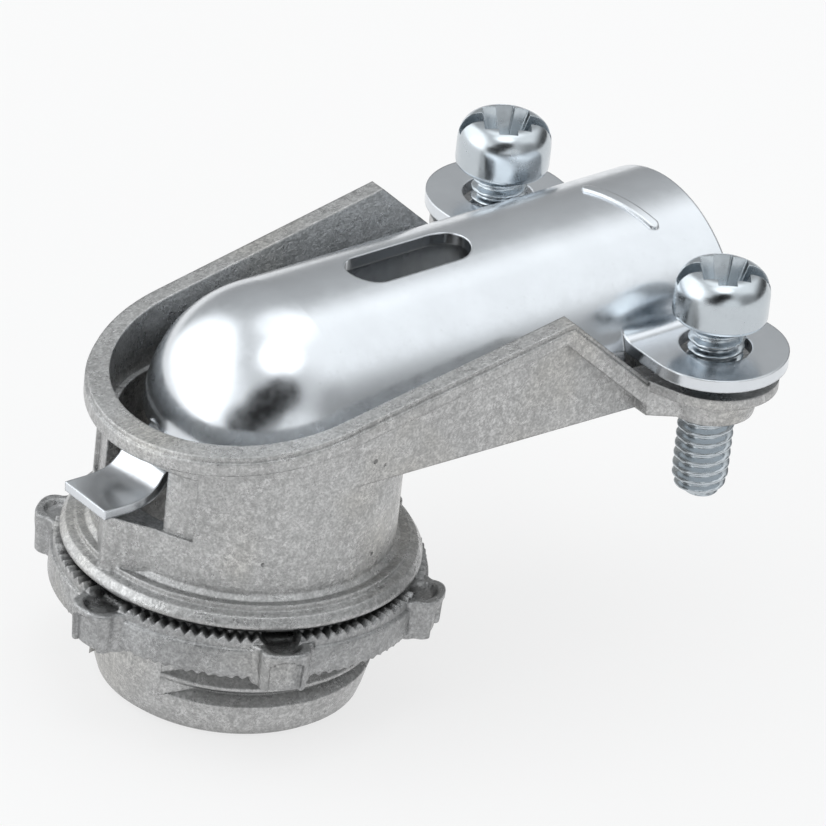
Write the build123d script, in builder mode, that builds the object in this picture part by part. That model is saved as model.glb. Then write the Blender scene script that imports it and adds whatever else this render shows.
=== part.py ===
# Ninety degree squeeze connector for flexible conduit, with a threaded hub, a clamp strap,
# two clamp screws and a locknut. Millimetres.
# Frame: the origin is on the hub axis at the seating face of the flange, +Z is up along the
# hub towards the tray, and +X runs along the conduit towards the open end.
import os
from math import atan, cos, degrees, radians, sin, tan

from build123d import *

os.makedirs("parts", exist_ok=True)

# Hub thread and bore
hub_thread_d = 20.8          # outside of the straight pipe thread
hub_pitch = 25.4 / 14        # fourteen turns to the inch
thread_depth = 1.1           # from crest to root
thread_land = 0.24           # flat left on each crest
thread_turns = 4
thread_start = 0.76          # first crest below the flange
thread_smooth = 24.0         # half angle of the smooth zone at each parting line
hub_length = 10.65           # from the flange face to the lower end
hub_taper_from = 6.9         # the lead below this depth tapers
lead_d = 19.6                # where the taper meets the rounded end
lead_round = 1.3             # height of the rounded end
lead_end_d = 17.9            # flat ring at the lower end
hub_bore_d = 15.6
bore_mouth = 0.5             # break of the bore's lower edge

# Flange
flange_d = 26.0
flange_bead = 1.3            # height of the rounded edge
flange_break = 0.35          # breaks that round the edge
flange_step_d = 24.0         # upper step
flange_step = 0.4            # height of the second step
neck_foot = 0.35             # break where the neck leaves the flange

# Neck and the pointed pad at its closed side
neck_d = 22.0
pad_reach = 12.5             # from the hub axis to the corner of the pad
pad_tip = 0.35               # radius of that corner
pad_top = 5.5
pad_sink = 0.4               # the pad starts this deep inside the neck and the flange

# Tray walls
panel_half = 11.0            # half width over the recessed side panels
cavity_half = 9.9            # half width inside, at the ledge
cavity_draft = 5.0           # the inner walls lean out by this angle
cavity_end = 10.3            # how far the cavity reaches behind the hub axis
cavity_front = 27.0          # front end of the space inside
wall_foot = 9.8              # height of the lower edge of the side walls
floor_low = 9.05             # underside of the floor between the walls
floor_top = 10.05            # height of the floor inside the tray
neck_bore_d = 19.4           # the neck is a thin wall around this bore
neck_floor = 0.9             # the neck's bore ends at this height
rim_back = 12.3              # how far the rim reaches behind the hub axis
rim_half = 11.8              # half width of the rim at the closed end
rim_front_half = 12.3        # half width of the rim at its peak
rim_at_axis = 15.1           # height of the rim above the hub axis
rim_rise = 0.208             # rise of the rim for each unit along X
rim_band = 1.35              # height of the proud band under the rim
rim_part = 0.4               # the parting step lies this far below the top
rim_step = 0.18              # depth of the parting step
peak_x = 18.6                # the walls are highest here
slope_foot_x = 26.0          # the front slope meets the lugs here
wall_overlap = 0.5           # the walls run this far past the space inside
slope_band = 1.5             # width of the band down the front slope

# Hook slot in the neck
slot_half = 3.6              # half width
slot_floor = 5.5             # height of the lower edge
slot_top = 10.4              # height of the upper edge
slot_relief_d = 21.4         # the wall is set back around the slot
slot_relief_angle = 33.0     # half angle of the set back wall

# Conduit saddle
conduit_d = 13.5
saddle_clear = 0.1           # saddle radius over the conduit radius
saddle_wall = 1.2            # thickness
saddle_floor = 5.35          # lowest line of the saddle
saddle_end = 35.4            # open end along X
stop_x = 11.5                # the conduit ends against a shoulder here
stop_height = 1.0            # the shoulder stands in by this much

# Clamp screws and the lugs that carry them
screw_x = 31.4
screw_y = 12.82
screw_d = 4.17
screw_clear = 0.06           # radial air in the body lug
screw_tip_z = 2.6            # height of the tip
screw_point = 1.9            # length of the tapered point
screw_point_d = 2.3          # diameter of the tip
head_d = 7.0
head_h = 3.85
head_crown = 1.9             # height of the rounded top
head_flat_d = 3.6            # where the rounded top turns flat
head_gap = 2.35              # from the strap ear up to the head
driver_slot = 1.15           # width of both slots
driver_depth = 2.0           # depth below the top of the head
driver_cross = 4.9           # length of the shorter slot
driver_square = 2.5          # square pocket where the slots meet
driver_turn = -34.0          # the slots' turn about the screw
lug_top = 12.55              # height of the lug face
lug_plate = 0.8              # thickness of the lug plate
lug_d = 9.7                  # rounded end of the lug
boss_low = 9.6               # lower end of the boss under the lug
boss_d = 6.6
boss_top_d = 7.6
web_d = 5.0                  # the web from the wall to the boss ends in this round

# Strap
sheet = 0.95                 # thickness of the sheet steel
tab_sheet = 0.72             # the hook is pressed thinner
strap_tilt = 1.5             # the ear end stands this many degrees up
strap_lift = 1.0             # air between strap ear and body lug at the screw
strap_d = 18.9               # outside of the barrel
strap_axis_drop = 2.35       # barrel axis below the underside of the ears
strap_end = 36.6             # open end along X
strap_dome_x = 2.0           # centre of the domed end
strap_foot = 2.15            # level of the side edges over the pivot
ear_d = 10.7                 # rounded end of the ears
ear_hole_d = 5.3
ear_root_x = 26.2            # the ears leave the barrel from here on
ear_blend = 1.4              # radius between barrel and ears
rib_x = 31.3                 # pressed rib across the barrel
rib_y = -1.2
rib_length = 6.6
rib_width = 0.75
rib_height = 0.22
rib_turn = -72.0
window_x = 12.9              # middle of the inspection window
window_length = 10.4
window_width = 4.0
tab_half = 2.4               # half width of the hook
tab_end = 4.15               # reach of the hook behind the pivot
tab_drop = 0.72              # fall of the hook below the pivot
pivot_x = -10.3              # the hook turns about this line
pivot_z = 8.0

# Locknut
nut_d = 27.2
nut_height = 3.4
nut_gap = 0.15               # air under the flange
nut_clear = 0.1              # radial air over the hub thread
nut_teeth = 104              # teeth around each face
nut_tooth_width = 0.7
nut_tooth_top = 0.5          # depth of the upper teeth
nut_tooth_low = 0.35         # depth of the lower teeth
nut_tooth_in_d = 24.4        # the teeth start at this diameter
nut_ledge = 0.22             # the teeth stand this far inside the ring's edge
nut_lugs = 6
nut_lug_turn = 7.0           # angle of the first lug from +X
nut_lug_reach = 15.2
nut_lug_width = 4.0
nut_lug_corner = 0.8         # the upright corners are cut from here
nut_lug_bend = 0.24          # bend in the cut of those corners
nut_lug_break = 0.35         # break of the lug's upper and lower edge
nut_lug_step = 0.62          # the lugs start this far below the ring's top
nut_lug_drop = 0.15          # the lugs hang this far below the ring

# Cutting forms reach this far past the surface they cut
cut_past = 2.0

# Worked out from the sizes above
hub_r = hub_thread_d / 2
thread_root_r = hub_r - thread_depth
lead_r = lead_d / 2
step_z = flange_bead + flange_step
neck_r = neck_d / 2
bore_r = hub_bore_d / 2
saddle_r = conduit_d / 2 + saddle_clear
saddle_z = saddle_floor + saddle_r
nut_top = -nut_gap
nut_low = nut_top - nut_height
nut_r = nut_d / 2
ear_low = lug_top + strap_lift
head_low = ear_low + sheet + head_gap
head_bulge_r = head_flat_d / 2 + (head_d - head_flat_d) / 2 * 0.74
peak_z = rim_at_axis + rim_rise * peak_x
high = peak_z + 5            # above everything in the tray
wall_end = cavity_front + wall_overlap


def rim_height(x):
    return rim_at_axis + rim_rise * x


# Connector body
# The wall of the tray: plan outline met by the side outline.
with BuildPart() as tray_walls:
    with BuildSketch(Plane.XY.offset(wall_foot)):
        Circle(neck_r)
        with Locations((wall_end / 2, 0)):
            Rectangle(wall_end, 2 * panel_half)
    extrude(amount=high - wall_foot)
    with BuildSketch(Plane.XZ):
        with BuildLine():
            Polyline(
                (-rim_back, wall_foot),
                (-rim_back, rim_height(-rim_back)),
                (peak_x, peak_z),
                (slope_foot_x, lug_top),
                (wall_end, lug_top),
                (wall_end, wall_foot),
                close=True,
            )
        make_face()
    extrude(amount=rim_front_half + 1, both=True, mode=Mode.INTERSECT)

# The proud band along the rim and down the front slope.
slope_angle = degrees(atan((peak_z - lug_top) / (slope_foot_x - peak_x)))
slope_drop = slope_band / cos(radians(slope_angle))
band_inner_peak_x = peak_x - (slope_drop - rim_band) / (rim_rise + tan(radians(slope_angle)))
rim_tiers = []
for drop, inset in ((rim_part, 0), (0, rim_step)):
    with BuildPart() as rim_tier:
        with BuildSketch(Plane.XY.offset(wall_foot)):
            with Locations((rim_half - rim_back, 0)):
                Circle(rim_half - inset)
            with Locations((slope_foot_x - 0.5, 0)):
                Rectangle(1, 2 * (rim_front_half - inset))
            make_hull()
        extrude(amount=high - wall_foot)
        with BuildSketch(Plane.XZ):
            with BuildLine():
                Polyline(
                    (-rim_back - 1, rim_height(-rim_back - 1) - drop),
                    (peak_x, peak_z - drop),
                    (slope_foot_x, lug_top - drop),
                    (slope_foot_x, lug_top - slope_drop),
                    (band_inner_peak_x, rim_height(band_inner_peak_x) - rim_band),
                    (-rim_back - 1, rim_height(-rim_back - 1) - rim_band),
                    close=True,
                )
            make_face()
        extrude(amount=rim_front_half + 1, both=True, mode=Mode.INTERSECT)
    rim_tiers.append(rim_tier.part)

with BuildPart() as connector_body:
    # Hub, flange and neck as one turned form
    with BuildSketch(Plane.XZ):
        with BuildLine():
            Polyline(
                (0, -hub_length),
                (lead_end_d / 2, -hub_length),
                ((lead_r * 2 + lead_end_d / 2) / 3, -hub_length + lead_round / 3),
                (lead_r, -hub_length + lead_round),
                (hub_r, -hub_taper_from),
                (hub_r, 0),
                (flange_d / 2 - flange_break, 0),
                (flange_d / 2, flange_break),
                (flange_d / 2, flange_bead - 2 * flange_break),
                (flange_d / 2 - flange_break, flange_bead - flange_break / 2),
                (flange_step_d / 2, flange_bead),
                (flange_step_d / 2, step_z),
                (neck_r + neck_foot, step_z),
                (neck_r, step_z + neck_foot),
                (neck_r, wall_foot + 1),
                (0, wall_foot + 1),
                close=True,
            )
        make_face()
    revolve(axis=Axis.Z)

    # Pointed pad under the hook slot
    with BuildSketch(Plane.XY.offset(flange_bead - pad_sink)):
        Circle(neck_r - pad_sink)
        with Locations((-pad_reach + pad_tip, 0)):
            Circle(pad_tip)
        make_hull()
    extrude(amount=pad_top - flange_bead + pad_sink)

    add(tray_walls.part)
    add(rim_tiers)

    # Half round saddle under the conduit
    with BuildSketch(Plane.YZ) as saddle_outside:
        with Locations((0, saddle_z)):
            Circle(saddle_r + saddle_wall)
        with Locations((0, floor_top + high / 2)):
            Rectangle(4 * saddle_r, high, mode=Mode.SUBTRACT)
    extrude(amount=saddle_end)
    with BuildSketch(Plane.XY.offset(floor_low)):
        with Locations((wall_end / 2, 0)):
            Rectangle(wall_end, 2 * cavity_half)
    extrude(amount=floor_top - floor_low)

    # Lugs for the screws
    with BuildSketch(Plane.XY.offset(lug_top - lug_plate)):
        with Locations((screw_x, screw_y), (screw_x, -screw_y)):
            Circle(lug_d / 2)
        with Locations(((slope_foot_x + saddle_end) / 2, 0)):
            Rectangle(saddle_end - slope_foot_x, 2 * rim_front_half)
        make_hull()
    extrude(amount=lug_plate)
    with BuildSketch(Plane.XY.offset(wall_foot)):
        with Locations(((cavity_front + saddle_end) / 2, 0)):
            Rectangle(saddle_end - cavity_front, 2 * panel_half)
    extrude(amount=lug_top - wall_foot)
    boss_h = lug_top - lug_plate / 2 - boss_low
    with Locations((screw_x, screw_y, boss_low), (screw_x, -screw_y, boss_low)):
        Cone(
            boss_d / 2,
            boss_top_d / 2,
            boss_h,
            align=(Align.CENTER, Align.CENTER, Align.MIN),
        )
    for side in (-1, 1):
        with BuildSketch(Plane.XY.offset(wall_foot)):
            with Locations((screw_x, side * screw_y)):
                Circle(web_d / 2)
            with Locations((slope_foot_x + 0.5, side * (panel_half + rim_front_half) / 2)):
                Rectangle(1, rim_front_half - panel_half)
            make_hull()
        extrude(amount=boss_h)

    # Inside of the tray
    with BuildSketch(Plane.XY.offset(floor_top)):
        with Locations((cavity_half - cavity_end, 0)):
            Circle(cavity_half)
        with Locations(((cavity_front + cavity_half - cavity_end) / 2, 0)):
            Rectangle(cavity_front - cavity_half + cavity_end, 2 * cavity_half)
    extrude(amount=high - floor_top, taper=-cavity_draft, mode=Mode.SUBTRACT)
    with BuildSketch(Plane.XY.offset(lug_top)):
        with Locations((saddle_end / 2, 0)):
            Rectangle(saddle_end, 2 * cavity_half)
    extrude(amount=high, mode=Mode.SUBTRACT)
    with BuildSketch(Plane.XY.offset(neck_floor)):
        Circle(neck_bore_d / 2)
    extrude(amount=floor_top - neck_floor + 1, mode=Mode.SUBTRACT)

    # Channel of the conduit, and behind its stop the smaller way into the hub
    with BuildSketch(Plane.YZ.offset(stop_x)):
        with Locations((0, saddle_z)):
            Circle(saddle_r)
        with Locations((0, saddle_z + high / 2)):
            Rectangle(2 * saddle_r, high)
    extrude(amount=saddle_end - stop_x + 1, mode=Mode.SUBTRACT)
    with BuildSketch(Plane.YZ):
        with Locations((0, saddle_z)):
            Circle(saddle_r - stop_height)
        with Locations((0, saddle_z + high / 2)):
            Rectangle(2 * (saddle_r - stop_height), high)
    extrude(amount=stop_x + 1, mode=Mode.SUBTRACT)

    # Bore of the hub
    with BuildSketch(Plane.XZ):
        with BuildLine():
            Polyline(
                (0, -hub_length - 1),
                (bore_r + bore_mouth, -hub_length - 1),
                (bore_r + bore_mouth, -hub_length),
                (bore_r, -hub_length + bore_mouth),
                (bore_r, floor_top + 1),
                (0, floor_top + 1),
                close=True,
            )
        make_face()
    revolve(axis=Axis.Z, mode=Mode.SUBTRACT)

    # Thread grooves in the two halves between the smooth zones
    for side in (-1, 1):
        groove_plane = Plane(origin=(0, 0, 0), x_dir=(0, side, 0), z_dir=(side, 0, 0))
        groove_plane = groove_plane.rotated((0, 0, 90 - thread_smooth))
        for step in range(thread_turns):
            crest_z = -thread_start - (step + (side + 1) / 4) * hub_pitch
            with BuildSketch(groove_plane):
                with BuildLine():
                    Polyline(
                        (hub_r + 1, crest_z - thread_land / 2),
                        (hub_r, crest_z - thread_land / 2),
                        (thread_root_r, crest_z - hub_pitch / 2),
                        (hub_r, crest_z - hub_pitch + thread_land / 2),
                        (hub_r + 1, crest_z - hub_pitch + thread_land / 2),
                        close=True,
                    )
                make_face()
            revolve(
                axis=Axis.Z,
                revolution_arc=-(180 - 2 * thread_smooth),
                mode=Mode.SUBTRACT,
            )

    # Hook slot, with the wall set back around it
    relief_x = slot_relief_d / 2 * cos(radians(slot_relief_angle))
    relief_y = slot_relief_d / 2 * sin(radians(slot_relief_angle))
    with BuildSketch(Plane.XY.offset(pad_top)):
        with BuildLine():
            Polyline(
                (0, 0),
                (-1.6 * relief_x, 1.6 * relief_y),
                (-1.6 * relief_x, -1.6 * relief_y),
                close=True,
            )
        make_face()
        Circle(slot_relief_d / 2, mode=Mode.SUBTRACT)
    extrude(amount=slot_top - pad_top, mode=Mode.SUBTRACT)
    with BuildSketch(Plane.XY.offset(slot_floor)):
        with Locations((-neck_r - 1, 0)):
            Rectangle(2 * (neck_r - cavity_half + cut_past), 2 * slot_half)
    extrude(amount=slot_top - slot_floor, mode=Mode.SUBTRACT)

    # Threaded holes of the lugs
    with Locations((screw_x, screw_y, lug_top), (screw_x, -screw_y, lug_top)):
        Cylinder(
            screw_d / 2 + screw_clear,
            2 * (lug_top - boss_low) + cut_past,
            mode=Mode.SUBTRACT,
        )
connector_body.part.label = "connector_body"
export_step(connector_body.part, "parts/connector_body.step")

# Clamp strap
# It is drawn level and stands tilted about its hook by strap_tilt.
tilt = radians(strap_tilt)
level = Plane(
    origin=(pivot_x, 0, pivot_z),
    x_dir=(cos(tilt), 0, sin(tilt)),
    z_dir=(-sin(tilt), 0, cos(tilt)),
)
strap_r = strap_d / 2
strap_in_r = strap_r - sheet
screw_arm = screw_x - pivot_x
ear_z = (ear_low - pivot_z) / cos(tilt) - screw_arm * tan(tilt)
barrel_z = ear_z - strap_axis_drop
barrel_start = strap_dome_x - pivot_x
barrel_end = strap_end - pivot_x
ear_arm = screw_arm / cos(tilt) + ear_z * tan(tilt)
across = Plane(
    origin=level.from_local_coords((0, 0, 0)), x_dir=(0, 1, 0), z_dir=level.x_dir
)
along = Plane(
    origin=level.from_local_coords((0, 0, 0)), x_dir=level.x_dir, z_dir=(0, -1, 0)
)
barrel_axis = Axis(level.from_local_coords((0, 0, barrel_z)), level.x_dir)

# Pressed rib across the barrel
with BuildPart() as press_rib:
    with BuildSketch(level.offset(barrel_z)):
        with Locations(Location((rib_x - pivot_x, rib_y), rib_turn)):
            SlotOverall(rib_length, rib_width)
    extrude(amount=strap_d)
    with BuildSketch(across):
        with Locations((0, barrel_z)):
            Circle(strap_r + rib_height)
            Circle(strap_r - sheet / 2, mode=Mode.SUBTRACT)
    extrude(amount=barrel_end, mode=Mode.INTERSECT)

with BuildPart() as clamp_strap:
    # Barrel and domed end from one revolved sheet
    with BuildSketch(level.offset(barrel_z)):
        with BuildLine():
            Polyline(
                (barrel_start, strap_in_r),
                (barrel_end, strap_in_r),
                (barrel_end, strap_r),
                (barrel_start, strap_r),
            )
            RadiusArc((barrel_start, strap_r), (barrel_start - strap_r, 0), -strap_r)
            Line((barrel_start - strap_r, 0), (barrel_start - strap_in_r, 0))
            RadiusArc((barrel_start - strap_in_r, 0), (barrel_start, strap_in_r), strap_in_r)
        make_face()
    revolve(axis=barrel_axis, revolution_arc=180)

    # Ears
    with BuildSketch(level.offset(-2 * strap_r)):
        with Locations(((barrel_end + barrel_start - strap_r) / 2, 0)):
            Rectangle(barrel_end - barrel_start + strap_r + 2, 3 * strap_r)
    extrude(amount=2 * strap_r + strap_foot, mode=Mode.SUBTRACT)
    for side in (-1, 1):
        with BuildSketch(level.offset(ear_z)):
            with Locations((ear_arm, side * screw_y)):
                Circle(ear_d / 2)
            with BuildLine():
                Polyline(
                    (ear_root_x - pivot_x, side * strap_in_r),
                    (barrel_end, side * strap_in_r),
                    (barrel_end, side * screw_y),
                    (ear_arm, side * screw_y),
                    close=True,
                )
            make_face()
            make_hull()
        extrude(amount=sheet)
    with BuildSketch(level.offset(ear_z - 2 * strap_r)):
        with Locations(((barrel_end + ear_root_x - pivot_x) / 2 + 1, 0)):
            Rectangle(barrel_end - ear_root_x + pivot_x + 2, 2.2 * strap_r)
    extrude(amount=2 * strap_r, mode=Mode.SUBTRACT)
    with BuildSketch(across.offset(ear_root_x - pivot_x - 2 * cut_past)):
        with Locations((0, barrel_z)):
            Circle(strap_in_r)
    extrude(amount=barrel_end, mode=Mode.SUBTRACT)

    # Soft bends between barrel and ears
    bend_edges = (
        clamp_strap.edges()
        .filter_by(GeomType.LINE)
        .filter_by(lambda edge: abs(level.to_local_coords(edge.center()).Z - ear_z - sheet) < 0.01)
        .filter_by(lambda edge: abs(edge.center().Y) < strap_r)
        .filter_by(lambda edge: edge.length > 0.6 * (barrel_end - ear_root_x + pivot_x))
        .filter_by(lambda edge: abs(edge.tangent_at(0.5).Y) < 0.01)
    )
    fillet(bend_edges, ear_blend)

    add(press_rib.part)

    # Hook tab
    with BuildSketch(along):
        with BuildLine():
            Spline(
                (barrel_start - strap_r + sheet / 2, strap_foot + 0.6),
                (barrel_start - strap_r + 0.2, strap_foot - 0.25),
                (1.25, 1.15),
                (0.75, 0.45),
                (-0.2, -0.35),
                (-2.0, -tab_drop),
                (-tab_end, -tab_drop),
            )
        trace(line_width=tab_sheet)
    extrude(amount=tab_half, both=True)

    # Inspection window
    with BuildSketch(level.offset(barrel_z)):
        with Locations((window_x - pivot_x, 0)):
            SlotOverall(window_length, window_width)
    extrude(amount=strap_d, mode=Mode.SUBTRACT)

    # Holes for the screws
    with BuildSketch(level.offset(ear_z - 1)):
        with Locations((ear_arm, screw_y), (ear_arm, -screw_y)):
            Circle(ear_hole_d / 2)
    extrude(amount=sheet + 2, mode=Mode.SUBTRACT)
clamp_strap.part.label = "clamp_strap"
export_step(clamp_strap.part, "parts/clamp_strap.step")

# Clamp screws
for side, side_name in ((-1, "near"), (1, "far")):
    with BuildPart() as clamp_screw:
        with BuildSketch(Plane.XZ.offset(-side * screw_y)):
            with BuildLine():
                Polyline(
                    (screw_x, screw_tip_z),
                    (screw_x + screw_point_d / 2, screw_tip_z),
                    (screw_x + screw_d / 2, screw_tip_z + screw_point),
                    (screw_x + screw_d / 2, head_low),
                    (screw_x + head_d / 2, head_low),
                    (screw_x + head_d / 2, head_low + head_h - head_crown),
                )
                ThreePointArc(
                    (screw_x + head_d / 2, head_low + head_h - head_crown),
                    (screw_x + head_bulge_r, head_low + head_h - head_crown * 0.32),
                    (screw_x + head_flat_d / 2, head_low + head_h),
                )
                Polyline(
                    (screw_x + head_flat_d / 2, head_low + head_h),
                    (screw_x, head_low + head_h),
                    (screw_x, screw_tip_z),
                )
            make_face()
        revolve(axis=Axis((screw_x, side * screw_y, 0), (0, 0, 1)))
        with BuildSketch(Plane.XY.offset(head_low + head_h - driver_depth)):
            with Locations(Location((screw_x, side * screw_y), driver_turn)):
                Rectangle(head_d + 1, driver_slot)
                Rectangle(driver_slot, driver_cross)
                Rectangle(driver_square, driver_square)
        extrude(amount=driver_depth + 1, mode=Mode.SUBTRACT)
    clamp_screw.part.label = side_name + "_clamp_screw"
    export_step(clamp_screw.part, "parts/" + side_name + "_clamp_screw.step")

# Locknut
with BuildPart() as locknut:
    # Teeth around both faces
    with BuildSketch(Plane.XY.offset(nut_low)):
        RegularPolygon(nut_r - nut_ledge, nut_teeth)
    extrude(amount=nut_height)
    with BuildSketch(Plane.YZ.offset(nut_tooth_in_d / 2)):
        for face_z, away, depth in ((nut_top, 1, nut_tooth_top), (nut_low, -1, nut_tooth_low)):
            with BuildLine():
                Polyline(
                    (0, face_z - away * depth),
                    (nut_tooth_width / 2, face_z),
                    (nut_tooth_width / 2, face_z + away),
                    (-nut_tooth_width / 2, face_z + away),
                    (-nut_tooth_width / 2, face_z),
                    close=True,
                )
            make_face()
    tooth_gap = extrude(amount=nut_r, mode=Mode.PRIVATE)
    with PolarLocations(0, nut_teeth):
        add(tooth_gap, mode=Mode.SUBTRACT)

    # Plain wall between the teeth
    with BuildSketch(Plane.XY.offset(nut_low + nut_tooth_low)):
        Circle(nut_r)
    extrude(amount=nut_height - nut_tooth_low - nut_tooth_top)

    # Drive lugs
    lug_h = nut_height - nut_lug_step + nut_lug_drop
    lug_half = nut_lug_width / 2
    with BuildSketch(Plane.XY.offset(nut_low - nut_lug_drop)):
        with BuildLine():
            Polyline(
                (nut_tooth_in_d / 2, -lug_half),
                (nut_lug_reach - nut_lug_corner, -lug_half),
                (nut_lug_reach - nut_lug_bend, -lug_half + nut_lug_bend),
                (nut_lug_reach, -lug_half + nut_lug_corner),
                (nut_lug_reach, lug_half - nut_lug_corner),
                (nut_lug_reach - nut_lug_bend, lug_half - nut_lug_bend),
                (nut_lug_reach - nut_lug_corner, lug_half),
                (nut_tooth_in_d / 2, lug_half),
                close=True,
            )
        make_face()
    lug_blank = extrude(amount=lug_h, mode=Mode.PRIVATE)
    lug_edges = lug_blank.edges().filter_by(GeomType.LINE).filter_by(
        lambda edge: edge.center().X > nut_lug_reach - nut_lug_corner
    )
    lug_edges = lug_edges.group_by(Axis.Z)[-1] + lug_edges.group_by(Axis.Z)[0]
    lug_blank = lug_blank.chamfer(nut_lug_break, None, lug_edges)
    with PolarLocations(0, nut_lugs, start_angle=nut_lug_turn):
        add(lug_blank)

    with BuildSketch(Plane.XY.offset(nut_low - 1)):
        Circle(hub_r + nut_clear)
    extrude(amount=nut_height + 2, mode=Mode.SUBTRACT)
locknut.part.label = "locknut"
export_step(locknut.part, "parts/locknut.step")
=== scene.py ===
from math import cos, degrees, pi, radians, sin, sqrt

import bmesh
import bpy
from mathutils import Matrix, Vector


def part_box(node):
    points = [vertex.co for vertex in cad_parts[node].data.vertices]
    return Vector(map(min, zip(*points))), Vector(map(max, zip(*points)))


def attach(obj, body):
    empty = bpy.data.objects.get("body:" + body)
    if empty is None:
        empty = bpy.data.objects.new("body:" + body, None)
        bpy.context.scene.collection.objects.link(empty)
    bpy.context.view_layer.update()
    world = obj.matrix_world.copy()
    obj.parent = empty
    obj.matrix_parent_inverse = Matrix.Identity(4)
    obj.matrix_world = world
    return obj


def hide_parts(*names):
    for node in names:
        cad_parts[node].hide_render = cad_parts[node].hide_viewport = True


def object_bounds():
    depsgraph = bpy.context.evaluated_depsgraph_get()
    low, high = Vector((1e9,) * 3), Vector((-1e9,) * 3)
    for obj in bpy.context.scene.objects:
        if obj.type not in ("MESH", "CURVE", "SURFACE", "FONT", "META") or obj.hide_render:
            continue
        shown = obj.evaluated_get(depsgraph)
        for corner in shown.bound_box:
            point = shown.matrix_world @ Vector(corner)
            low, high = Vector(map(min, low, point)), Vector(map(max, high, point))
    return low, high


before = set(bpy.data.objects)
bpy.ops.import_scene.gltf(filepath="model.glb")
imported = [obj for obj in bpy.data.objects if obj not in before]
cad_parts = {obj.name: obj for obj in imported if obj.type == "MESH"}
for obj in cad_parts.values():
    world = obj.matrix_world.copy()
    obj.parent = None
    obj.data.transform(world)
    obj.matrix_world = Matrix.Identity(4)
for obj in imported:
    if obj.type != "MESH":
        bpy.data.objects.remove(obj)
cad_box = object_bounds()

MM = 0.001
scene = bpy.context.scene
scene.view_settings.view_transform = "Standard"


# Camera at the photograph's place
def set_camera(azimuth, elevation, roll, distance, scale, origin_px, image=826):
    """Distance in millimetres, scale in pixels per millimetre at the origin."""
    a, e, r = radians(azimuth), radians(elevation), radians(roll)
    right = Vector((cos(a), sin(a), 0))
    up = Vector((-sin(a) * sin(e), cos(a) * sin(e), cos(e)))
    back = Vector((sin(a) * cos(e), -cos(a) * cos(e), sin(e)))
    side = right * cos(r) + up * sin(r)
    top = -right * sin(r) + up * cos(r)
    off_x = (origin_px[0] - image / 2) / scale
    off_y = (image / 2 - origin_px[1]) / scale
    place = (back * distance - side * off_x - top * off_y) * MM
    data = bpy.data.cameras.new("camera")
    data.sensor_fit = "HORIZONTAL"
    data.sensor_width = 36
    data.lens = scale * distance / image * data.sensor_width
    data.clip_start = 0.05
    data.clip_end = 10
    camera = bpy.data.objects.new("camera", data)
    scene.collection.objects.link(camera)
    camera.matrix_world = Matrix(
        (
            (side.x, top.x, back.x, place.x),
            (side.y, top.y, back.y, place.y),
            (side.z, top.z, back.z, place.z),
            (0, 0, 0, 1),
        )
    )
    scene.camera = camera


set_camera(
    azimuth=-40.29, elevation=28.87, roll=6.37, distance=690, scale=14.0, origin_px=(240.64, 541.38)
)


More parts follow.
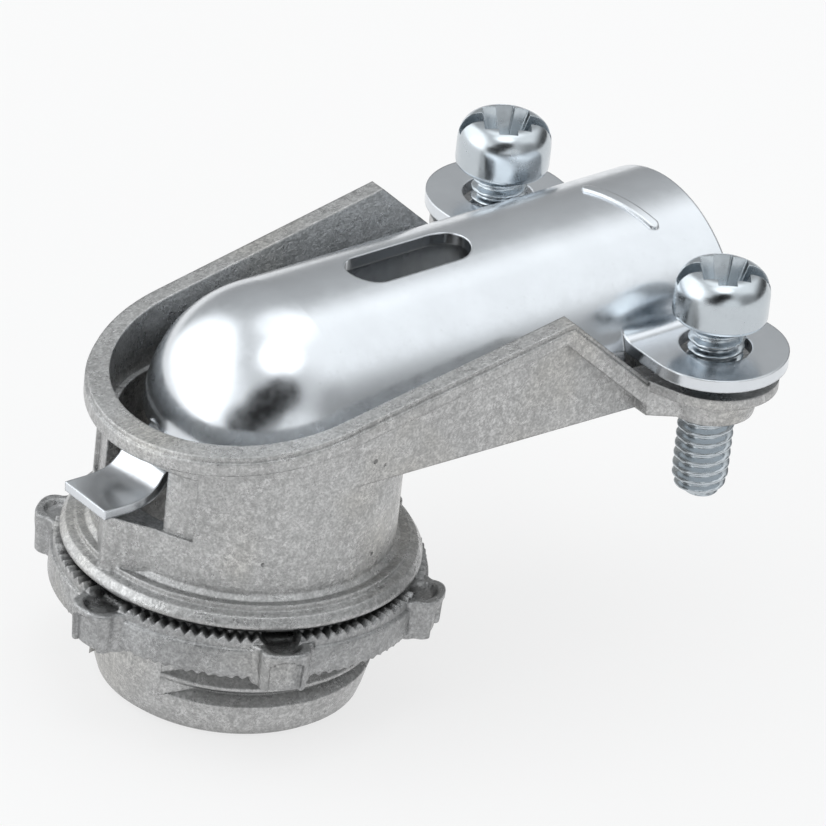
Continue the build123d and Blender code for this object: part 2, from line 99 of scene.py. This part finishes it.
# Materials
class Nodes:
    """Short names for building one material's node tree."""

    def __init__(self, name):
        self.material = bpy.data.materials.new(name)
        self.material.use_nodes = True
        self.tree = self.material.node_tree
        self.shader = self.tree.nodes["Principled BSDF"]
        coords = self.new("ShaderNodeTexCoord")
        self.place = coords.outputs["Object"]

    def new(self, kind, **values):
        node = self.tree.nodes.new(kind)
        for key, value in values.items():
            setattr(node, key, value)
        return node

    def link(self, a, b):
        self.tree.links.new(a, b)

    def noise(self, scale, detail=4.0, roughness=0.55, distortion=0.0):
        """Noise with this many features to the metre."""
        node = self.new("ShaderNodeTexNoise")
        node.inputs["Scale"].default_value = scale
        node.inputs["Detail"].default_value = detail
        node.inputs["Roughness"].default_value = roughness
        node.inputs["Distortion"].default_value = distortion
        self.link(self.place, node.inputs["Vector"])
        return node.outputs["Fac"]

    def spots(self, scale):
        node = self.new("ShaderNodeTexVoronoi")
        node.inputs["Scale"].default_value = scale
        self.link(self.place, node.inputs["Vector"])
        return node.outputs["Distance"]

    def spread(self, value, low, high, out_low=0.0, out_high=1.0):
        node = self.new("ShaderNodeMapRange")
        node.interpolation_type = "SMOOTHSTEP"
        node.inputs["From Min"].default_value = low
        node.inputs["From Max"].default_value = high
        node.inputs["To Min"].default_value = out_low
        node.inputs["To Max"].default_value = out_high
        self.link(value, node.inputs["Value"])
        return node.outputs["Result"]

    def math(self, operation, a, b):
        node = self.new("ShaderNodeMath", operation=operation)
        for socket, value in zip(node.inputs, (a, b)):
            if isinstance(value, (int, float)):
                socket.default_value = value
            else:
                self.link(value, socket)
        return node.outputs[0]

    def times(self, a, b):
        return self.math("MULTIPLY", a, b)

    def rest(self, value):
        return self.math("SUBTRACT", 1.0, value)

    def mix(self, factor, a, b):
        node = self.new("ShaderNodeMix", data_type="RGBA", blend_type="MIX")
        sockets = (node.inputs[0], node.inputs[6], node.inputs[7])
        for socket, value in zip(sockets, (factor, a, b)):
            if isinstance(value, tuple):
                socket.default_value = (*value, 1)
            else:
                self.link(value, socket)
        return node.outputs[2]

    def bump(self, height, depth_mm, under, strength):
        node = self.new("ShaderNodeBump")
        node.inputs["Strength"].default_value = strength
        node.inputs["Distance"].default_value = depth_mm * MM
        self.link(height, node.inputs["Height"])
        self.link(under, node.inputs["Normal"])
        return node.outputs["Normal"]

    def rounded(self, radius_mm):
        """Normal that rounds the edges of the mesh."""
        node = self.new("ShaderNodeBevel", samples=6)
        node.inputs["Radius"].default_value = radius_mm * MM
        return node.outputs["Normal"]

    def hollow(self, reach_mm):
        """Low where other surfaces stand close by, for painted shade in corners."""
        node = self.new("ShaderNodeAmbientOcclusion", samples=6)
        node.inputs["Distance"].default_value = reach_mm * MM
        return node.outputs["AO"]

    def finish(self, colour, metallic, rough, normal):
        self.shader.inputs["Metallic"].default_value = metallic
        self.link(colour, self.shader.inputs["Base Color"])
        self.link(rough, self.shader.inputs["Roughness"])
        self.link(normal, self.shader.inputs["Normal"])
        return self.material


def shade(tone, factor):
    return tuple(min(part * factor, 1.0) for part in tone)


def cast_metal(name, tone, edge_mm):
    """Mottled die casting with dark grain, specks, a few pits and painted shade in its corners."""
    n = Nodes(name)
    cloud = n.spread(n.noise(140, 3, 0.5), 0.35, 0.65)
    patch = n.spread(n.noise(230, 3, 0.55, distortion=0.4), 0.42, 0.62)
    mottle = n.spread(n.noise(1900, 5, 0.75), 0.38, 0.62)
    grain = n.spread(n.noise(5200, 3, 0.6), 0.34, 0.66)
    colour = n.mix(cloud, shade(tone, 0.95), shade(tone, 1.05))
    stain = n.spread(n.noise(95, 2), 0.5, 0.68)
    warm = (tone[0] * 1.08, tone[1] * 1.04, tone[2] * 0.96)
    colour = n.mix(n.times(stain, 0.5), colour, warm)
    blot = n.times(n.rest(mottle), n.spread(patch, 0.0, 1.0, 0.34, 0.52))
    colour = n.mix(blot, colour, shade(tone, 0.33))
    colour = n.mix(n.times(n.rest(grain), 0.5), colour, shade(tone, 0.38))
    specks = n.times(n.spread(n.spots(2600), 0.16, 0.06), n.spread(n.noise(600, 2), 0.5, 0.62))
    colour = n.mix(n.times(specks, 0.65), colour, shade(tone, 0.25))
    pits = n.times(n.spread(n.spots(330), 0.07, 0.04), n.spread(n.noise(120, 1), 0.52, 0.56))
    colour = n.mix(n.times(pits, 0.75), colour, shade(tone, 0.2))
    # painted shade: the colour darkens towards a quarter of the tone where other surfaces stand
    # close by
    painted_corner_shade = n.spread(n.hollow(1.8), 0.15, 0.75, 0.75, 0.0)
    colour = n.mix(painted_corner_shade, colour, shade(tone, 0.25))
    rough = n.spread(n.noise(800, 4, 0.6), 0.3, 0.7, 0.24, 0.38)
    normal = n.bump(n.noise(300, 3, 0.5), 0.07, n.rounded(edge_mm), 0.6)
    normal = n.bump(mottle, 0.02, normal, 0.7)
    normal = n.bump(grain, 0.012, normal, 0.8)
    normal = n.bump(n.rest(pits), 0.12, normal, 0.8)
    return n.finish(colour, 0.92, rough, normal)


def plated_steel(name, tone, rough_low, rough_high, edge_mm, peel_mm, corner_shade):
    """Bright zinc plating with a faint orange peel, flecks and a little painted shade in its
    corners.
    """
    n = Nodes(name)
    cloud = n.spread(n.noise(240, 3, 0.5), 0.3, 0.7)
    colour = n.mix(cloud, shade(tone, 0.95), tone)
    fleck = n.spread(n.noise(4200, 3, 0.6), 0.55, 0.75)
    colour = n.mix(n.times(fleck, 0.16), colour, shade(tone, 0.7))
    specks = n.spread(n.spots(520), 0.035, 0.02)
    colour = n.mix(n.times(specks, 0.35), colour, shade(tone, 0.5))
    # painted shade: the colour darkens towards near-black where other surfaces stand close by
    painted_corner_shade = n.spread(n.hollow(0.9), 0.15, 0.7, corner_shade, 0.0)
    colour = n.mix(painted_corner_shade, colour, (0.1, 0.1, 0.105))
    rough = n.spread(n.noise(1100, 4, 0.6), 0.3, 0.7, rough_low, rough_high)
    normal = n.bump(n.noise(500, 2, 0.5), peel_mm, n.rounded(edge_mm), 0.5)
    normal = n.bump(n.noise(4200, 2, 0.5), peel_mm * 0.22, normal, 0.5)
    return n.finish(colour, 1.0, rough, normal)


body_look = cast_metal("cast_body", (0.635, 0.636, 0.634), edge_mm=0.24)
nut_look = cast_metal("cast_nut", (0.515, 0.519, 0.523), edge_mm=0.2)
# The last value of each plated look sets how dark the painted shade in its corners gets; the screws
# get none.
strap_look = plated_steel(
    "plated_sheet", (0.74, 0.77, 0.805), 0.17, 0.24, edge_mm=0.22, peel_mm=0.006, corner_shade=0.45
)
screw_look = plated_steel(
    "plated_screw", (0.57, 0.615, 0.65), 0.18, 0.28, edge_mm=0.1, peel_mm=0.004, corner_shade=0.0
)

looks = {
    "connector_body": body_look,
    "clamp_strap": strap_look,
    "near_clamp_screw": screw_look,
    "far_clamp_screw": screw_look,
    "locknut": nut_look,
}
for node_name, node_look in looks.items():
    node_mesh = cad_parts[node_name].data
    node_mesh.materials.clear()
    node_mesh.materials.append(node_look)


# Pieces in mesh code, all in millimetres
def soft(value):
    """Smooth step from 0 to 1."""
    value = min(max(value, 0), 1)
    return value * value * (3 - 2 * value)


def polar(radius, angle, height):
    return (radius * cos(angle), radius * sin(angle), height)


def turned(points, turn):
    """The points turned about Z by this angle in radians."""
    c, s = cos(turn), sin(turn)
    return [(x * c - y * s, x * s + y * c, z) for x, y, z in points]


def ring_of(bm, points):
    return [bm.verts.new(point) for point in points]


def circle_of(bm, radius, height, sides):
    return ring_of(bm, [polar(radius, 2 * pi * k / sides, height) for k in range(sides)])


def bridge(bm, first, second):
    """Faces between two rings with the same number of points."""
    for k in range(len(first)):
        after = (k + 1) % len(first)
        bm.faces.new((first[k], first[after], second[after], second[k]))


def add_object(name, bm, look, sharp_from=None):
    """Object of a mesh in millimetres, shaded smooth below this angle in degrees."""
    bmesh.ops.scale(bm, vec=(MM, MM, MM), verts=bm.verts)
    mesh = bpy.data.meshes.new(name)
    bm.to_mesh(mesh)
    bm.free()
    if sharp_from:
        mesh.shade_smooth()
        mesh.set_sharp_from_angle(angle=radians(sharp_from))
    mesh.materials.append(look)
    obj = bpy.data.objects.new(name, mesh)
    scene.collection.objects.link(obj)
    return obj


# Clamp screws with a real thread and a combination recess
HEAD_H = 3.85
HEAD_R = 3.47
HEAD_SIDES = 96
HEAD_CENTRE_R = 0.8          # innermost ring of the flat top
# Lower edge of the head as (radius, height above the seat)
HEAD_FOOT = ((2.6, 0.0), (HEAD_R - 0.22, 0.0), (HEAD_R - 0.05, 0.16), (HEAD_R, 0.42))
HEAD_CROWN = 1.9             # height of the rounded top
HEAD_FLAT_R = 1.8
CROWN_STEPS = 12
CROWN_FULLNESS = 0.85
THREAD_R = 2.06
THREAD_DEPTH = 0.47
THREAD_PITCH = 25.4 / 32
THREAD_FOOT = 0.78           # a thread ends here, in half pitches from its middle
THREAD_FLANK = 0.62          # length of a flank in half pitches
THREAD_FREE = 0.1            # plain length under the head
THREAD_RUNOUT = 0.5          # the thread fades out over this length below it
SHANK_SIDES = 72
ROWS_PER_TURN = 14
SHANK_SINK = 0.3             # the shank runs this far up into the head
POINT_LENGTH = 1.9
POINT_SHARE = 0.56           # tip's share of the full radius
DRIVER_DEPTH = 2.2
DRIVER_PAST = 1.0            # the cutting form reaches this far above the head
DRIVER_LOW = 0.58            # size of the recess at its bottom
DRIVER_HIGH = 1.19           # size where the cutting form ends
DRIVER_HALF = 0.7            # half width of both slots
CROSS_HALF = 2.45            # half length of the shorter slot
SQUARE_HALF = 1.75           # half width of the square pocket
DRIVER_TURN = -34


def crown_points():
    """Arc from the side of the head to its flat top, as radius and depth below the top."""
    for i in range(CROWN_STEPS + 1):
        t = radians(90) * i / CROWN_STEPS
        radius = HEAD_FLAT_R + (HEAD_R - HEAD_FLAT_R) * cos(t) ** CROWN_FULLNESS
        yield radius, HEAD_CROWN * (1 - sin(t))


def head_blank(bm, top):
    low = top - HEAD_H
    profile = [(radius, low + height) for radius, height in HEAD_FOOT]
    profile += [(radius, top - depth) for radius, depth in crown_points()]
    profile += [(HEAD_CENTRE_R, top)]
    rings = [circle_of(bm, radius, height, HEAD_SIDES) for radius, height in profile]
    first = bm.verts.new((0, 0, low))
    last = bm.verts.new((0, 0, top))
    for k in range(HEAD_SIDES):
        after = (k + 1) % HEAD_SIDES
        bm.faces.new((first, rings[0][after], rings[0][k]))
        bm.faces.new((last, rings[-1][k], rings[-1][after]))
    for low_ring, high_ring in zip(rings, rings[1:]):
        bridge(bm, low_ring, high_ring)


def head_recess(bm, top):
    """Cutting form: a slot across the head, a shorter slot and a square, narrower at the bottom."""
    w, c, q, reach = DRIVER_HALF, CROSS_HALF, SQUARE_HALF, HEAD_R + 1
    quarter = [(reach, w), (q, w), (q, q), (w, q), (w, c)]
    outline = quarter + [(-x, y) for x, y in reversed(quarter)]
    outline += [(-x, -y) for x, y in outline]
    rings = []
    for height, size in ((top - DRIVER_DEPTH, DRIVER_LOW), (top + DRIVER_PAST, DRIVER_HIGH)):
        across = [(x * size, y * size, height) for x, y in outline]
        rings.append(ring_of(bm, turned(across, radians(DRIVER_TURN))))
    bm.faces.new(list(reversed(rings[0])))
    bm.faces.new(rings[1])
    bridge(bm, rings[0], rings[1])
    bmesh.ops.recalc_face_normals(bm, faces=bm.faces)


def head_mesh(top):
    solids = []
    for name, shape in (("head", head_blank), ("recess", head_recess)):
        bm = bmesh.new()
        shape(bm, top)
        mesh = bpy.data.meshes.new(name)
        bm.to_mesh(mesh)
        bm.free()
        obj = bpy.data.objects.new(name, mesh)
        scene.collection.objects.link(obj)
        solids.append(obj)
    head, recess = solids
    cut = head.modifiers.new("cut", "BOOLEAN")
    cut.operation = "DIFFERENCE"
    cut.solver = "EXACT"
    cut.object = recess
    bpy.context.view_layer.update()
    evaluated = head.evaluated_get(bpy.context.evaluated_depsgraph_get())
    shaped = bpy.data.meshes.new_from_object(evaluated)
    bpy.data.objects.remove(head)
    bpy.data.objects.remove(recess)
    return shaped


def thread_crest(turns):
    """Height of the thread's profile from 0 at the root to 1 on the crest."""
    away = abs(2 * (turns % 1) - 1)
    crest = min(max((THREAD_FOOT - away) / THREAD_FLANK, 0), 1)
    return (soft(crest) + crest) / 2


def add_shank(bm, tip, head_low):
    """Threaded shank as a grid whose radius follows the helix."""
    high = head_low + SHANK_SINK
    rows = int((high - tip) / THREAD_PITCH * ROWS_PER_TURN)
    grid = []
    for i in range(rows + 1):
        height = tip + (high - tip) * i / rows
        point = min((height - tip) / POINT_LENGTH, 1)
        taper = POINT_SHARE + (1 - POINT_SHARE) * sqrt(point * (2 - point))
        runout = min(max((head_low - height - THREAD_FREE) / THREAD_RUNOUT, 0), 1)
        ring = []
        for k in range(SHANK_SIDES):
            crest = thread_crest(height / THREAD_PITCH - k / SHANK_SIDES)
            radius = (THREAD_R - THREAD_DEPTH + THREAD_DEPTH * crest * runout) * taper
            ring.append(polar(radius, 2 * pi * k / SHANK_SIDES, height))
        grid.append(ring_of(bm, ring))
    for low_ring, high_ring in zip(grid, grid[1:]):
        bridge(bm, low_ring, high_ring)
    bm.faces.new(list(reversed(grid[0])))
    bm.faces.new(grid[-1])


def clamp_screw(node, body):
    lowest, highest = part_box(node)
    x = (lowest[0] + highest[0]) / 2 / MM
    y = (lowest[1] + highest[1]) / 2 / MM
    tip, top = lowest[2] / MM, highest[2] / MM
    bm = bmesh.new()
    head = head_mesh(top)
    bm.from_mesh(head)
    bpy.data.meshes.remove(head)
    add_shank(bm, tip, top - HEAD_H)
    bmesh.ops.translate(bm, vec=(x, y, 0), verts=bm.verts)
    screw = add_object(node + "_threaded", bm, screw_look, sharp_from=38)
    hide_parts(node)
    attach(screw, body)


clamp_screw("near_clamp_screw", "near_screw")
clamp_screw("far_clamp_screw", "far_screw")


# Ramps at the ends of the hub's thread grooves
HUB_R = 10.4
HUB_ROOT_R = 9.3
HUB_PITCH = 25.4 / 14
HUB_LAND = 0.24              # flat on each crest
FIRST_CREST = -0.76
GROOVES = 4
SMOOTH_HALF = 24             # half angle of the smooth zone at each parting line
RAMP_ANGLE = 15
RAMP_STEPS = 8
RAMP_SINK = 0.02             # the ramps stay this far under the crests
RAMP_LEAD = 0.04             # share of the ramp that lies before its start
RAMP_EDGE = 0.03             # half width of its thin end
RAMP_FOOT_R = HUB_ROOT_R - 0.3


def add_ramp(bm, crest, start, turn):
    """Fills one end of a groove with a slope from the full radius down to the root."""
    high, low = crest - HUB_LAND / 2, crest - HUB_PITCH + HUB_LAND / 2
    middle = (high + low) / 2
    rows = []
    for i in range(RAMP_STEPS + 1):
        left = 1 - i / RAMP_STEPS
        angle = radians(start + turn * RAMP_ANGLE * (i / RAMP_STEPS - RAMP_LEAD))
        radius = HUB_ROOT_R + (HUB_R - RAMP_SINK - HUB_ROOT_R) * left
        half = (high - middle) * left + RAMP_EDGE
        section = ((radius, middle + half), (radius, middle - half), (RAMP_FOOT_R, middle))
        rows.append(ring_of(bm, [polar(r, angle, z) for r, z in section]))
    for first, second in zip(rows, rows[1:]):
        bridge(bm, first, second)
    bm.faces.new(rows[0])
    bm.faces.new(list(reversed(rows[-1])))


def thread_ends():
    bm = bmesh.new()
    reach = 90 - SMOOTH_HALF
    for middle, shift in ((270, 0), (90, 0.5)):
        for step in range(GROOVES):
            crest = FIRST_CREST - (step + shift) * HUB_PITCH
            add_ramp(bm, crest, middle - reach, 1)
            add_ramp(bm, crest, middle + reach, -1)
    bmesh.ops.recalc_face_normals(bm, faces=bm.faces)
    ends = add_object("thread_ends", bm, body_look)
    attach(ends, "body")


thread_ends()


# Locknut with rounded, dished lugs
NUT_BORE_R = 10.5
NUT_R = 13.6
NUT_TOP = -0.15
NUT_LOW = -3.55
NUT_BREAK = 0.15             # break of the bore's edges
TEETH = 104
TOOTH_IN_R = 12.2
TOOTH_OUT_R = 13.38
TOOTH_TOP = 0.5              # depth of the upper teeth
TOOTH_LOW = 0.35             # depth of the lower teeth
TOOTH_LAND = 0.14            # the tooth is flat over this part of the pitch
TOOTH_VALLEY = 0.57          # and lowest here
SHOULDER = 0.85              # the plain wall starts this far below the top
LUGS = 6
LUG_TURN = 7.0               # angle of the first lug from +X
LUG_REACH = 15.2
LUG_TOP = -0.6
LUG_LOW = -3.7
LUG_BASE_R = 10.75
LUG_ROUND_AT = 13.95         # the rounded end starts at this radius
LUG_HALF = 1.84
PANEL_HALF = 1.35            # the panel on the outer face
PANEL_TOP = 0.5
PANEL_DEPTH = 0.45
DISH_AT = 13.45              # the round dish on top of the lug
DISH_R = 1.3
DISH_DEPTH = 0.4
DISH_IN_R = 10.8             # the ring is cut away under the dish from here
DISH_CUT = 1.2
DISH_CUT_ANGLE = 5.4         # half angle of that cut
# Foot of a lug as (radius, distance from its middle line)
LUG_FLARE = ((LUG_BASE_R, -2.3), (13.2, -2.3), (13.45, -2.2), (13.62, -2.02), (13.78, -1.9))
# Rings down a lug's wall as (depth below its top, inset)
LUG_LEVELS = [(0.0, 0.1), (0.04, 0.03), (0.14, 0.0)] + [(0.25 + 0.2 * i, 0.0) for i in range(13)]
LUG_LEVELS += [(2.94, 0.02), (3.04, 0.07), (LUG_TOP - LUG_LOW, 0.16)]
# Rings across a lug's top as shares of its outline
CAP_SCALES = (0.15, 0.26, 0.36, 0.45, 0.54, 0.62, 0.7, 0.76, 0.82, 0.88, 0.93, 0.97)


def lug_offset(angle):
    """Distance in degrees to the middle of the nearest lug."""
    pitch = 360 / LUGS
    return abs((degrees(angle) - LUG_TURN + pitch / 2) % pitch - pitch / 2)


def ring_section(cut, tooth, angle):
    """Section through the ring as (radius, height), with worn teeth of this cut from 0 to 1."""
    start = TOOTH_IN_R
    upper = TOOTH_TOP * cut * (0.8 + 0.2 * sin(tooth * 2.4) * sin(tooth * 0.9))
    lower = TOOTH_LOW * cut * (0.75 + 0.25 * sin(tooth * 1.7))
    if lug_offset(angle) < DISH_CUT_ANGLE:
        start, upper = DISH_IN_R, DISH_CUT
    shoulder = NUT_TOP - max(SHOULDER, upper + 0.15)
    top_edge = NUT_TOP - max(upper, 0.05)
    low_edge = NUT_LOW + max(lower, 0.05)
    return [
        (NUT_BORE_R, NUT_LOW + NUT_BREAK),
        (NUT_BORE_R, NUT_TOP - NUT_BREAK),
        (NUT_BORE_R + NUT_BREAK, NUT_TOP),
        (start - 0.04, NUT_TOP),
        (start + 0.04, NUT_TOP - upper),
        (TOOTH_OUT_R - 0.06, NUT_TOP - upper),
        (TOOTH_OUT_R, min(top_edge, NUT_TOP - upper - 0.04)),
        (TOOTH_OUT_R, shoulder),
        (NUT_R - 0.06, shoulder - 0.05),
        (NUT_R, shoulder - 0.15),
        (NUT_R, NUT_LOW + TOOTH_LOW + 0.12),
        (NUT_R - 0.06, NUT_LOW + TOOTH_LOW + 0.05),
        (TOOTH_OUT_R, NUT_LOW + TOOTH_LOW + 0.02),
        (TOOTH_OUT_R - 0.06, low_edge),
        (TOOTH_IN_R + 0.04, NUT_LOW + lower),
        (TOOTH_IN_R - 0.04, NUT_LOW),
        (NUT_BORE_R + NUT_BREAK, NUT_LOW),
    ]


def nut_ring(bm):
    columns = []
    for tooth in range(TEETH):
        for part, cut in ((0.0, 0.0), (TOOTH_LAND, 0.0), (TOOTH_VALLEY, 1.0)):
            angle = 2 * pi * (tooth + part) / TEETH
            section = ring_section(cut, tooth, angle)
            columns.append(ring_of(bm, [polar(r, angle, z) for r, z in section]))
    for first, second in zip(columns, columns[1:] + columns[:1]):
        bridge(bm, first, second)


def lug_outline():
    """Plan of a lug in (radial, tangential) values, flared where it meets the ring."""
    points = list(LUG_FLARE)
    for step in range(37):
        t = radians(-90 + 5 * step)
        across = abs(sin(t)) ** 0.8 * LUG_HALF * (1 if t > 0 else -1)
        points.append((LUG_ROUND_AT + (LUG_REACH - LUG_ROUND_AT) * abs(cos(t)) ** 0.75, across))
    return points + [(x, -y) for x, y in reversed(LUG_FLARE)]


def lug_wall(outline, centre, depth, inset):
    """Outline at this depth below the lug's top, with the panel pressed into its outer face."""
    taper = 0.1 * soft(depth / 3)
    for x, y in outline:
        out = soft((x - 13.7) / 0.8)
        beside = soft((PANEL_HALF - abs(y)) / 0.22)
        below = soft((depth - PANEL_TOP - 0.3 * y * y) / 0.2)
        panel = PANEL_DEPTH * beside * below * out
        x = centre + (x - centre) * (1 - inset * 0.5) - (taper + panel) * out
        yield x, y * (1 - inset * 0.4) * (1 - taper * 0.6), LUG_TOP - depth


def lug_cap(outline, centre, scale):
    """Outline shrunk towards the middle of the dish, on the surface of the lug's top."""
    for x, y in outline:
        x = DISH_AT + (centre + (x - centre) * 0.95 - DISH_AT) * scale
        y = y * 0.96 * scale
        inward = (x - DISH_AT) * (0.35 if x < DISH_AT else 1)
        away = sqrt(inward * inward + y * y) / DISH_R
        yield x, y, LUG_TOP + 0.03 - DISH_DEPTH * soft((1.08 - away) / 0.42)


def nut_lug(bm, turn):
    outline = lug_outline()
    centre = (LUG_BASE_R + LUG_REACH) / 2
    stack = [lug_cap(outline, centre, scale) for scale in CAP_SCALES]
    stack += [lug_wall(outline, centre, depth, inset) for depth, inset in LUG_LEVELS]
    rings = [ring_of(bm, turned(points, turn)) for points in stack]
    for high_ring, low_ring in zip(rings, rings[1:]):
        bridge(bm, high_ring, low_ring)
    bm.faces.new(list(reversed(rings[0])))
    bm.faces.new(rings[-1])


def shaped_nut():
    bm = bmesh.new()
    nut_ring(bm)
    for k in range(LUGS):
        nut_lug(bm, radians(LUG_TURN + 360 / LUGS * k))
    bmesh.ops.recalc_face_normals(bm, faces=bm.faces)
    nut = add_object("locknut_shaped", bm, nut_look, sharp_from=35)
    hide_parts("locknut")
    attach(nut, "nut")


shaped_nut()


# Floor and world
FLOOR_HALF = 3.0
FLOOR_TONE = 0.8
FLOOR_WHITE = 0.75           # share of plain white that the camera and reflections see


def plain_floor():
    z = float(cad_box[0][2])
    signs = ((-1, -1), (1, -1), (1, 1), (-1, 1))
    corners = [(x * FLOOR_HALF, y * FLOOR_HALF, z) for x, y in signs]
    mesh = bpy.data.meshes.new("floor")
    mesh.from_pydata(corners, [], [(0, 1, 2, 3)])
    floor = bpy.data.objects.new("floor", mesh)
    scene.collection.objects.link(floor)
    n = Nodes("floor")
    n.link(n.spread(n.noise(40), 0.2, 0.8, 0.6, 0.7), n.shader.inputs["Roughness"])
    n.shader.inputs["Base Color"].default_value = (FLOOR_TONE, FLOOR_TONE, FLOOR_TONE, 1)
    path = n.new("ShaderNodeLightPath")
    seen = n.math("MAXIMUM", path.outputs["Is Camera Ray"], path.outputs["Is Glossy Ray"])
    seen = n.math("MAXIMUM", seen, path.outputs["Is Transmission Ray"])
    white = n.new("ShaderNodeEmission")
    choose = n.new("ShaderNodeMixShader")
    n.link(n.times(seen, FLOOR_WHITE), choose.inputs["Fac"])
    n.link(n.shader.outputs[0], choose.inputs[1])
    n.link(white.outputs[0], choose.inputs[2])
    n.link(choose.outputs[0], n.tree.nodes["Material Output"].inputs["Surface"])
    mesh.materials.append(n.material)


def toward(azimuth, elevation):
    a, e = radians(azimuth), radians(elevation)
    return (sin(a) * cos(e), -cos(a) * cos(e), sin(e))


class Sky:
    """Soft studio surroundings: a grey that brightens upward, with soft boxes and dark gaps."""

    def __init__(self, low_level, high_level):
        world = bpy.data.worlds.new("world")
        scene.world = world
        world.use_nodes = True
        self.tree = world.node_tree
        self.way = self.tree.nodes.new("ShaderNodeTexCoord").outputs["Generated"]
        apart = self.tree.nodes.new("ShaderNodeSeparateXYZ")
        self.tree.links.new(self.way, apart.inputs[0])
        self.total = self.spread(apart.outputs["Z"], -0.1, 0.9, low_level, high_level)

    def spread(self, value, low, high, out_low, out_high):
        node = self.tree.nodes.new("ShaderNodeMapRange")
        node.interpolation_type = "SMOOTHSTEP"
        for name, number in (
            ("From Min", low),
            ("From Max", high),
            ("To Min", out_low),
            ("To Max", out_high),
        ):
            node.inputs[name].default_value = number
        self.tree.links.new(value, node.inputs["Value"])
        return node.outputs["Result"]

    def change(self, operation, still, azimuth, elevation, inner, outer, amount):
        """Changes the light from one direction: fully inside one angle, not past the other."""
        dot = self.tree.nodes.new("ShaderNodeVectorMath")
        dot.operation = "DOT_PRODUCT"
        dot.inputs[1].default_value = toward(azimuth, elevation)
        self.tree.links.new(self.way, dot.inputs[0])
        patch = self.spread(
            dot.outputs["Value"], cos(radians(outer)), cos(radians(inner)), still, amount
        )
        node = self.tree.nodes.new("ShaderNodeMath")
        node.operation = operation
        self.tree.links.new(self.total, node.inputs[0])
        self.tree.links.new(patch, node.inputs[1])
        self.total = node.outputs[0]

    def box(self, azimuth, elevation, inner, outer, added):
        self.change("ADD", 0.0, azimuth, elevation, inner, outer, added)

    def gap(self, azimuth, elevation, inner, outer, left):
        self.change("MULTIPLY", 1.0, azimuth, elevation, inner, outer, left)

    def finish(self, tint):
        background = self.tree.nodes["Background"]
        background.inputs["Color"].default_value = (*tint, 1)
        self.tree.links.new(self.total, background.inputs["Strength"])


plain_floor()
sky = Sky(0.5, 0.8)
sky.box(72, 52, 18, 44, 0.4)       # along the front of the barrel
sky.box(-135, 12, 37, 50, 1.1)     # large white patch on the dome
sky.box(-95, 5, 15, 50, 0.6)       # fill from the left
sky.box(-18, 2, 10, 30, 0.5)       # light beside the dome's dark patch
sky.box(-40, 74, 12, 21, 1.3)      # small white patch on the dome
sky.gap(150, 32, 16, 42, 0.7)      # grey top of the barrel and of flat faces
sky.box(140, 74, 9, 25, 0.7)       # upper end of the small white patch
sky.gap(82, -5, 22, 50, 0.15)      # faces that look along +X, such as the neck's right side
sky.gap(25, 20, 8, 28, 0.6)        # lower side of the barrel
sky.gap(-33, 42, 12, 19, 0.02)     # dark patch on the dome, in three parts
sky.gap(-50, 28, 14, 21, 0.02)
sky.gap(-66, 10, 12, 19, 0.06)
sky.finish((0.97, 0.99, 1.0))
